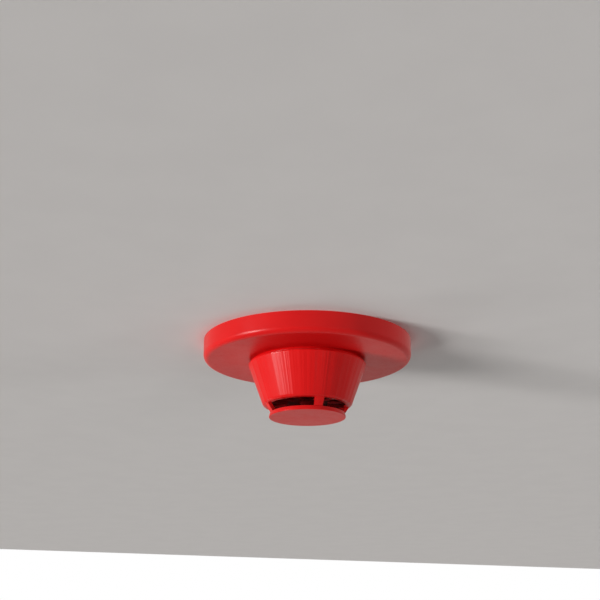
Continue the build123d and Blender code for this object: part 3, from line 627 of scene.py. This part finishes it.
def lathe(outline, middle=(0.0, 0.0), steps=64, closed=True, ripple=None):
    """Point = middle + (r cos a, r sin a, z) for each outline point (r, z); ripple(a, r, z) is added to r."""
    angle = np.linspace(0, 2 * math.pi, steps, endpoint=False)[None, :]
    r, z = outline[:, :1], outline[:, 1:]
    reach = r + (ripple(angle, r, z) if ripple else 0.0 * angle)
    points = np.stack((middle[0] + reach * np.cos(angle), middle[1] + reach * np.sin(angle),
                       z + 0.0 * angle), axis=-1)
    return welded(points, grid_faces(len(outline), steps, closed, True))


def swept(path, outline):
    """Point = path point + outline x * side + outline y * lift, with side level and square to the path."""
    path, outline = np.array(path, float), np.array(outline, float)
    ahead = np.gradient(path, axis=0)
    ahead /= np.linalg.norm(ahead, axis=1)[:, None]
    level = np.cross(ahead[np.argmin(np.abs(ahead[:, 2]))], (0.0, 0.0, 1.0))
    if np.linalg.norm(level) < WELD_STEP:
        level = np.array((1.0, 0.0, 0.0))
    side = np.cross(np.cross(ahead, level), ahead)
    side /= np.linalg.norm(side, axis=1)[:, None]
    lift = np.cross(side, ahead)
    rings = path[:, None] + outline[None, :, :1] * side[:, None] + outline[None, :, 1:] * lift[:, None]
    ends = np.repeat(path[[0, -1]][:, None], len(outline), axis=1)
    return welded(np.concatenate((ends[:1], rings, ends[1:])), grid_faces(len(path) + 2, len(outline), False, True))


def circle(radius, steps=12):
    """Outline of a round wire."""
    angle = np.linspace(0, 2 * math.pi, steps, endpoint=False)
    return radius * np.stack((np.cos(angle), np.sin(angle)), axis=-1)


def bent(corners, radius):
    """Open path with its inner corners rounded; it keeps its first and last points."""
    corners = np.array(corners, float)
    rows = [corners[:1]]
    for before, here, after in zip(corners[:-2], corners[1:-1], corners[2:]):
        start = here + (before - here) * radius / np.linalg.norm(before - here)
        end = here + (after - here) * radius / np.linalg.norm(after - here)
        t = np.linspace(0, 1, ROUND_STEPS)[:, None]
        rows.append((1 - t) ** 2 * start + 2 * t * (1 - t) * here + t ** 2 * end)
    return np.concatenate(rows + [corners[-1:]])


def add_piece(name, shape, body, material, stands_for=()):
    """Makes a piece from a shape in millimetres, dresses it, and says what it rides on and stands for."""
    points, faces = shape
    piece = make_mesh(name, points * MM, faces)
    dress(piece, material)
    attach(piece, body)
    if stands_for:
        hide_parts(*stands_for)
    print("piece:", name, "faces:", len(piece.data.polygons))
    return piece


print("surface helpers ready")

# %% [markdown]
# ## Foam ring
# The gasket is cut from foam, so its edge is never quite round and its corners are pressed soft. The outline is a
# superellipse, which is a rectangle with soft corners, and slow waves of a fifth of a millimetre run round its edge.

# %% Foam ring
FOAM_MIDDLE, FOAM_HALF_WIDTH = 67.85, 4.35
FOAM_DEPTH = 2.0
FOAM_SOFTNESS = 0.4
FOAM_EASE = 0.2
FOAM_WAVES = ((0.10, 7), (0.06, 19), (0.04, 43))


def make_foam_ring():
    """r = middle + half width * sgn(cos t) |cos t|^s, z = -half depth * (1 - sgn(sin t) |sin t|^s), plus waves."""
    t = np.linspace(0, 2 * math.pi, 28, endpoint=False)
    across = np.sign(np.cos(t)) * np.abs(np.cos(t)) ** FOAM_SOFTNESS
    upward = np.sign(np.sin(t)) * np.abs(np.sin(t)) ** FOAM_SOFTNESS
    outline = np.stack((FOAM_MIDDLE + FOAM_HALF_WIDTH * across, FOAM_DEPTH / 2 * (upward - 1)), axis=-1)

    def waves(angle, r, z):
        """Sum of height * sin(count * a + start), full at both edges, less a little ease all round."""
        swell = sum(height * np.sin(count * angle + start)
                    for (height, count), start in zip(FOAM_WAVES, (3 * z, r, 0 * z)))
        return swell * np.abs(r - FOAM_MIDDLE) / FOAM_HALF_WIDTH - FOAM_EASE * np.sign(r - FOAM_MIDDLE)

    return lathe(outline, steps=360, ripple=waves)


foam_ring = add_piece("foam_ring", make_foam_ring(), "base", grey_foam, ["ceiling_gasket"])

# %% [markdown]
# ## Cable grommet
# A moulded rubber grommet has no sharp edges, and its lip has a shallow groove that lets it fold.

# %% Grommet
GROMMET_OUTLINE = ((4.0, -4.3), (5.0, -4.3), (5.6, -3.9), (6.2, -4.3), (8.6, -4.3), (8.6, -3.1), (6.8, -3.1),
                   (6.8, -0.1), (4.4, -0.1), (4.0, -0.6))
add_piece("rubber_grommet", lathe(rounded(GROMMET_OUTLINE, 0.25), steps=80), "base", black_rubber,
          ["cable_grommet"])

# %% [markdown]
# ## Sensing bead
# The bead that feels the air is a drop of glass drawn out along its two leads. The leads run close together through
# the nose and spread again at the board.

# %% Bead and leads
BEAD_Z, BEAD_SIZE = -50.2, 1.28
BEAD_STRETCH, BEAD_WAIST = 1.9, 0.22
LEAD_SIZE, LEAD_BEND = 0.22, 1.2
LEAD_ROUTE = ((0.45, 0, -49.4), (0.55, 0.05, -44.0), (0.62, -0.05, -33.0), (0.8, 0, -28.0), (0.8, 0, -22.7))
BOARD_Z = -24.65


def make_drop():
    """r = size * sin t, z = bead + size * cos t, drawn out above the middle by (cos t) squared."""
    t = np.linspace(math.pi, 0, 24)
    stretch = np.where(np.cos(t) > 0, BEAD_STRETCH * np.cos(t) ** 2, 0.0)
    r = BEAD_SIZE * np.sin(t) * (1 - BEAD_WAIST * np.clip(np.cos(t), 0, 1))
    return lathe(np.stack((r, BEAD_Z + BEAD_SIZE * np.cos(t) + stretch), axis=-1), steps=32, closed=False)


def make_leads():
    """Two wires: from the bead, close together up the nose, spread under the board."""
    wires = [swept(bent(np.array(LEAD_ROUTE) * (side, 1, 1), LEAD_BEND), circle(LEAD_SIZE)) for side in (-1, 1)]
    return joined(*wires)


add_piece("bead_drop", make_drop(), "head", bead_glass, ["sensing_thermistor"])
add_piece("bead_leads", make_leads(), "head", zinc_steel)

# %% [markdown]
# ## Reed switch
# A reed switch is a sealed glass tube with two flat blades that overlap in its middle. The blades are the flattened
# ends of the leads, which bend down to the board.

# %% Reed switch
REED_AT = (18.0, 6.0, -27.0)
REED_RADIUS, REED_HALF, REED_FOOT_AT = 1.1, 4.5, 6.5
REED_WIRE, REED_BEND = 0.28, 0.6
BLADE_OUTLINE = ((-0.5, -0.06), (0.5, -0.06), (0.5, 0.06), (-0.5, 0.06))


def make_reed_tube():
    """Capsule along Y: radius r at y, with r shrinking as a quarter circle over the last radius of the length."""
    t = np.linspace(0, math.pi / 2, 8)
    end = np.stack((REED_RADIUS * np.sin(t), REED_HALF - REED_RADIUS + REED_RADIUS * np.cos(t)), axis=-1)
    outline = np.concatenate((end, end[::-1] * (1, -1)))
    points, faces = lathe(outline, steps=28, closed=False)
    return points[:, [0, 2, 1]] * (1, 1, -1) + REED_AT, faces


def make_reed_wires():
    """Lead with a bend down to its foot, and a blade 0.12 mm thick that passes the other in the middle."""
    x, y, z = REED_AT
    shapes = []
    for side in (-1, 1):
        foot = y + side * REED_FOOT_AT
        lead = bent(((x, foot, BOARD_Z), (x, foot, z), (x, y + side * 3.2, z)), REED_BEND)
        shapes.append(swept(lead, circle(REED_WIRE)))
        blade = ((x, y + side * 3.4, z), (x, y + side * 1.5, z + side * 0.1), (x, y - side * 0.8, z + side * 0.12))
        shapes.append(swept(blade, BLADE_OUTLINE))
    return joined(*shapes)


add_piece("reed_tube", make_reed_tube(), "head", reed_glass, ["reed_switch"])
add_piece("reed_wires", make_reed_wires(), "head", zinc_steel)

# %% [markdown]
# ## Chip legs and solder
# A flat chip stands on gull-wing legs: level out of the case, down, and level again on the board. Each contact pin
# comes through the board in a small cone of solder with hollow sides.

# %% Legs and solder
LEG_OUTLINE = ((-0.15, -0.06), (0.15, -0.06), (0.15, 0.06), (-0.15, 0.06))
LEG_PATH = ((-0.2, 0.5), (0.35, 0.5), (0.6, 0.08), (1.05, 0.08))
CHIP_MIDDLE, CHIP_HALF = (0.0, -14.0), 3.5
CHIP_PITCH, CHIP_ROW = 0.8, 8
LEG_BEND = 0.12
SOLDER_NECK, SOLDER_FLARE, SOLDER_HEIGHT = 0.82, 0.75, 1.1
PIN_CIRCLE, PIN_AZIMUTHS = 22.0, (45, 135, 225, 315)


def make_chip_legs():
    """For each of four sides and each place along it, the leg path is turned to that side and swept."""
    path = bent(np.array([(out, 0.0, BOARD_Z - down) for out, down in LEG_PATH]), LEG_BEND)
    shapes = []
    for quarter in range(4):
        cos, sin = math.cos(quarter * math.pi / 2), math.sin(quarter * math.pi / 2)
        for place in (np.arange(CHIP_ROW) - (CHIP_ROW - 1) / 2) * CHIP_PITCH:
            out, along = path[:, 0] + CHIP_HALF, path[:, 1] + place
            turned = np.stack((CHIP_MIDDLE[0] + out * cos - along * sin, CHIP_MIDDLE[1] + out * sin + along * cos,
                               path[:, 2]), axis=-1)
            shapes.append(swept(turned, LEG_OUTLINE))
    return joined(*shapes)


def make_solder():
    """Cone with hollow sides: r = neck + flare (1 - h)^2 as h goes from 0 at the board to 1, with flat ends."""
    h = np.linspace(0, 1, 8)
    side = np.stack((SOLDER_NECK + SOLDER_FLARE * (1 - h) ** 2, BOARD_Z - SOLDER_HEIGHT * h), axis=-1)
    outline = np.concatenate(([(0.0, BOARD_Z)], side, [(0.0, BOARD_Z - SOLDER_HEIGHT)]))
    places = [(PIN_CIRCLE * math.cos(azimuth), PIN_CIRCLE * math.sin(azimuth)) for azimuth in np.radians(PIN_AZIMUTHS)]
    return joined(*(lathe(outline, place, 24, closed=False) for place in places))


add_piece("chip_legs", make_chip_legs(), "head", tin_solder)
add_piece("solder_fillets", make_solder(), "head", tin_solder)

# %% [markdown]
# ## The ceiling
# The detector hangs from a plain painted ceiling with one straight edge in the distance. It is a single sheet that
# looks down. Seen from above it has to vanish, or it would hide the detector's back in the views from above, so its
# shader turns clear on its back side. It also stays out of shadows and reflections: the even sky takes its place
# there. Reflections see it about as bright as the ceiling.

# %% Ceiling
CEILING_EDGE_POINT = np.array((0.0, 1.526))
CEILING_EDGE_TURN = CAMERA_BEARING + math.radians(18.2)
CEILING_WIDTH = 14.0
CEILING_REACH = 9.0
CEILING_STEPS = 24


def make_ceiling():
    """Point = edge point + along edge * u + away from edge * v, with u and v on an even grid, at z = 0."""
    along = np.array((math.cos(CEILING_EDGE_TURN), math.sin(CEILING_EDGE_TURN)))
    away = np.array((along[1], -along[0]))
    turn = np.array(((math.cos(CAMERA_BEARING), -math.sin(CAMERA_BEARING)),
                     (math.sin(CAMERA_BEARING), math.cos(CAMERA_BEARING))))
    u, v = np.meshgrid(np.linspace(-CEILING_WIDTH / 2, CEILING_WIDTH / 2, CEILING_STEPS),
                       np.linspace(0, CEILING_REACH, CEILING_STEPS), indexing="ij")
    flat = turn @ CEILING_EDGE_POINT + u[..., None] * along + v[..., None] * away
    points = np.concatenate((flat, np.zeros_like(u)[..., None]), axis=-1)
    return make_mesh("ceiling", points, grid_faces(CEILING_STEPS, CEILING_STEPS), smooth=False)


def make_ceiling_paint():
    """Matt emulsion with roller stipple, which lets light through when it is seen from its back."""
    finish = Finish("ceiling_paint")
    tree = finish.tree
    skin = finish.group(grain_group, Grain_Scale=420.0, Wave_Scale=60.0, Wave_Share=0.4)
    finish.set(Base_Color=finish.mix(skin["Tone"], (0.728, 0.698, 0.678), (0.742, 0.712, 0.691)),
               Roughness=finish.between(skin["Gloss"], 0.85, 0.95), Normal=finish.bump(skin["Height"], 0.0001, 0.4))
    finish.shader.inputs["Specular IOR Level"].default_value = 0.2
    shape = tree.nodes.new("ShaderNodeNewGeometry")
    clear = tree.nodes.new("ShaderNodeBsdfTransparent")
    mixed = tree.nodes.new("ShaderNodeMixShader")
    wire(tree, shape.outputs["Backfacing"], mixed.inputs[0])
    wire(tree, finish.shader.outputs[0], mixed.inputs[1])
    wire(tree, clear.outputs[0], mixed.inputs[2])
    wire(tree, mixed.outputs[0], tree.nodes["Material Output"].inputs["Surface"])
    return finish.material


ceiling = make_ceiling()
if ceiling.data.polygons[0].normal.z > 0:
    ceiling.data.flip_normals()
dress(ceiling, make_ceiling_paint())
ceiling.visible_diffuse = False
ceiling.visible_glossy = False
ceiling.visible_transmission = False
ceiling.visible_shadow = False
print("ceiling looks down:", ceiling.data.polygons[0].normal.z < 0)

# %% [markdown]
# ## The light
# A broad low key light from the left, a little below the ceiling, makes the bright left side of the head and the
# long soft shadow on the ceiling. Sun lamps are used because their light is the same everywhere, so the ceiling
# stays evenly bright. Each row below is one lamp: the heading it comes from, how far below level it stands (a
# negative drop is above level), its strength and how wide it looks. The key has two narrow rows just below the
# ceiling and two wide ones lower down: one wide lamp alone would blur the shadow where it starts, and one narrow
# lamp alone would leave its far end too sharp. The two narrow rows share one direction, and only one of them shows
# in reflections, which keeps the shiny streak on the head from getting too bright. The fill rows light the sides
# that face away from the key. The last row and the lamp above stand in for light that bounces off the room and
# the ceiling.

# %% Light
SKY_DIFFUSE = 0.04
SKY_GLOSS = 0.36
TOP_POWER = 7.0
TOP_PLACE = (0.25, 0.30, 1.3)
TOP_SIZE = 0.9
DISTANT_LIGHTS = (
    # name, heading, drop, strength, width, shows in reflections
    ("key_low", 237.0, 7.0, 0.45, 10.0, False),
    ("key_sheen", 237.0, 7.0, 1.55, 10.0, True),
    ("key_high", 237.0, 20.0, 1.75, 16.0, False),
    ("key_left", 208.0, 20.0, 0.20, 16.0, False),
    ("fill_front", 328.0, 12.0, 0.60, 20.0, False),
    ("fill_right", 8.0, 7.0, 0.62, 12.0, False),
    ("fill_behind", 118.0, 40.0, 0.58, 40.0, False),
    ("fill_back", 168.0, 20.0, 0.35, 16.0, False),
    ("fill_floor", 0.0, 90.0, 0.15, 60.0, False),
    ("ceiling_bounce", 0.0, -90.0, 0.53, 180.0, False),
)


def make_sky():
    """Three even skies: a dim one for soft light, a brighter one for reflections, white for the camera."""
    world = bpy.data.worlds.new("even_sky")
    scene.world = world
    world.use_nodes = True
    tree = world.node_tree
    path = tree.nodes.new("ShaderNodeLightPath")
    surface = None
    for ray, colour, strength in ((None, (1.0, 0.985, 0.97), SKY_DIFFUSE),
                                  ("Is Glossy Ray", (1.0, 0.975, 0.90), SKY_GLOSS),
                                  ("Is Camera Ray", (1.0, 1.0, 1.0), 1.0)):
        sky = tree.nodes["Background"] if ray is None else tree.nodes.new("ShaderNodeBackground")
        sky.inputs[0].default_value = (*colour, 1.0)
        sky.inputs[1].default_value = strength
        if ray is None:
            surface = sky.outputs[0]
            continue
        mixed = tree.nodes.new("ShaderNodeMixShader")
        wire(tree, path.outputs[ray], mixed.inputs[0])
        wire(tree, surface, mixed.inputs[1])
        wire(tree, sky.outputs[0], mixed.inputs[2])
        surface = mixed.outputs[0]
    wire(tree, surface, tree.nodes["World Output"].inputs["Surface"])


def make_light(name, kind, travel, place=(0, 0, 0)):
    """Lamp of a kind that shines along the travel direction."""
    data = bpy.data.lights.new(name, kind)
    lamp = bpy.data.objects.new(name, data)
    scene.collection.objects.link(lamp)
    lamp.location = place
    lamp.rotation_mode = "QUATERNION"
    lamp.rotation_quaternion = Vector(travel).to_track_quat("-Z", "Y")
    return lamp


def make_distant_light(name, heading, drop, strength, width, shows):
    """Even light from a heading, coming up from a drop below level; angles in degrees."""
    heading, drop = math.radians(heading), math.radians(drop)
    lamp = make_light(name, "SUN", (-math.cos(heading) * math.cos(drop), -math.sin(heading) * math.cos(drop),
                                    math.sin(drop)))
    lamp.data.energy = strength
    lamp.data.angle = math.radians(width)
    lamp.visible_glossy = shows


make_sky()
for row in DISTANT_LIGHTS:
    make_distant_light(*row)
top = make_light("top_light", "AREA", -Vector(TOP_PLACE), TOP_PLACE)
top.data.energy = TOP_POWER
top.data.size = TOP_SIZE
